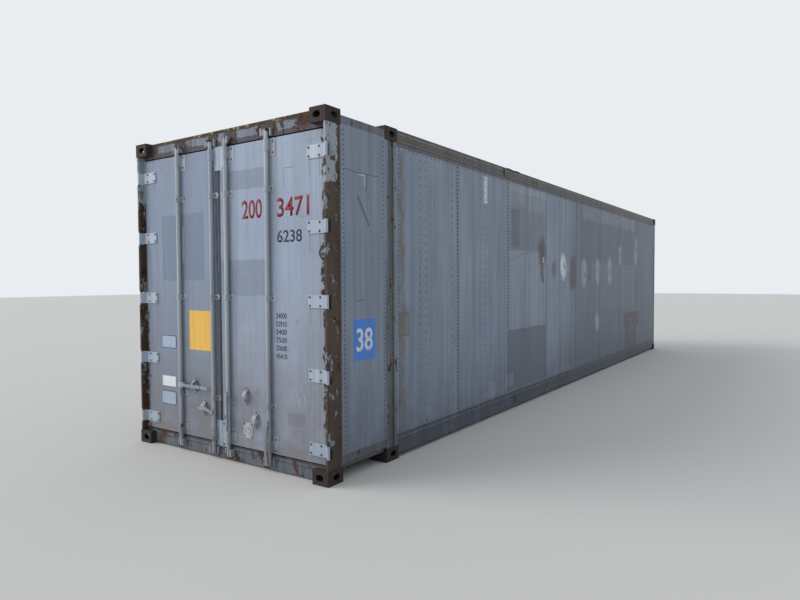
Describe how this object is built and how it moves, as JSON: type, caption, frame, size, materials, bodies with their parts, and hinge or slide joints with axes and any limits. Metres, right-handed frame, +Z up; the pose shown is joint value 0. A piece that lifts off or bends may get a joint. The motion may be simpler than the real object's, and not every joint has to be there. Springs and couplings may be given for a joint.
{
  "type": "shipping container, high cube dry freight, aluminium sheet and post sides, closed at about 36 feet",
  "caption": "High-cube dry freight container with riveted aluminium sides, a steel door frame, a pair of lock-bar doors and worn grey paint.",
  "frame": {"origin": "middle of the base, on the plane of the bottom corner castings", "axes": "+X along the container from the doors to the closed end, +Y across it, +Z up; the long side in the picture faces -Y"},
  "size_m": [11.06, 2.438, 2.896],
  "materials": {
    "painted_steel": "rusted and peeling grey paint on steel",
    "painted_aluminium": "weathered grey paint on riveted aluminium sheet",
    "door_paint": "weathered grey paint, dull",
    "painted_tube": "grey paint worn to galvanised steel",
    "rubber_seal": "aged black rubber",
    "floor_wood": "worn hardwood plywood"
  },
  "bodies": {
    "container": {"rear_corner_castings": "painted_steel", "mid_castings": "painted_steel", "front_corner_castings": "painted_steel", "rear_posts": "painted_steel", "hinge_lugs": "painted_steel", "door_header": "painted_steel", "door_sill": "painted_steel", "cam_keepers": "door_paint", "mid_posts": "painted_steel", "mid_crossbeams": "painted_steel", "overhang_rails": "painted_steel", "top_rails": "painted_aluminium", "bottom_rails": "painted_aluminium", "side_skin_left": "painted_aluminium", "side_skin_right": "painted_aluminium", "wall_posts": "painted_aluminium", "front_posts": "painted_steel", "front_header": "painted_steel", "front_sill": "painted_steel", "front_skin": "painted_aluminium", "front_wall_posts": "painted_aluminium", "roof_skin": "painted_aluminium", "roof_bows": "painted_aluminium", "floor": "floor_wood", "cross_members": "painted_steel"},
    "left_door": {"left_door_panel": "door_paint", "left_door_gasket": "rubber_seal", "left_hinge_blades": "door_paint", "left_bar_brackets": "door_paint", "left_handle_hasps": "door_paint", "left_overlap_plates": "door_paint"},
    "right_door": {"right_door_panel": "door_paint", "right_door_gasket": "rubber_seal", "right_hinge_blades": "door_paint", "right_bar_brackets": "door_paint", "right_handle_hasps": "door_paint", "right_overlap_plates": "door_paint"},
    "bar_left_outer": {"lock_bar_left_outer": "painted_tube"},
    "bar_left_inner": {"lock_bar_left_inner": "painted_tube"},
    "bar_right_inner": {"lock_bar_right_inner": "painted_tube"},
    "bar_right_outer": {"lock_bar_right_outer": "painted_tube"},
    "handle_left_outer": {"handle_left_outer": "painted_tube"},
    "handle_left_inner": {"handle_left_inner": "painted_tube"},
    "handle_right_inner": {"handle_right_inner": "painted_tube"},
    "handle_right_outer": {"handle_right_outer": "painted_tube"}
  },
  "joints": [
    {"name": "left_door_hinge", "type": "hinge", "parent": "container", "child": "left_door", "pos_m": [-5.51, 1.205, 1.4175], "axis": [0, 0, -1], "range_deg": [0, 260]},
    {"name": "right_door_hinge", "type": "hinge", "parent": "container", "child": "right_door", "pos_m": [-5.51, -1.205, 1.4175], "axis": [0, 0, 1], "range_deg": [0, 260]},
    {"name": "bar_left_outer_turn", "type": "hinge", "parent": "left_door", "child": "bar_left_outer", "pos_m": [-5.497, 0.62, 1.44], "axis": [0, 0, 1], "range_deg": [-95, 0]},
    {"name": "bar_left_inner_turn", "type": "hinge", "parent": "left_door", "child": "bar_left_inner", "pos_m": [-5.497, 0.15, 1.44], "axis": [0, 0, -1], "range_deg": [-95, 0]},
    {"name": "bar_right_inner_turn", "type": "hinge", "parent": "right_door", "child": "bar_right_inner", "pos_m": [-5.497, -0.045, 1.44], "axis": [0, 0, 1], "range_deg": [-95, 0]},
    {"name": "bar_right_outer_turn", "type": "hinge", "parent": "right_door", "child": "bar_right_outer", "pos_m": [-5.497, -0.55, 1.44], "axis": [0, 0, -1], "range_deg": [-95, 0]},
    {"name": "handle_left_outer_lift", "type": "hinge", "parent": "bar_left_outer", "child": "handle_left_outer", "pos_m": [-5.5265, 0.56, 0.62], "axis": [-1, 0, 0], "range_deg": [0, 60]},
    {"name": "handle_left_inner_lift", "type": "hinge", "parent": "bar_left_inner", "child": "handle_left_inner", "pos_m": [-5.5265, 0.15, 0.413], "axis": [1, 0, 0], "range_deg": [0, 60]},
    {"name": "handle_right_inner_lift", "type": "hinge", "parent": "bar_right_inner", "child": "handle_right_inner", "pos_m": [-5.5265, -0.045, 0.595], "axis": [-1, 0, 0], "range_deg": [0, 150]},
    {"name": "handle_right_outer_lift", "type": "hinge", "parent": "bar_right_outer", "child": "handle_right_outer", "pos_m": [-5.5265, -0.55, 0.4], "axis": [1, 0, 0], "range_deg": [0, 150]}
  ]
}
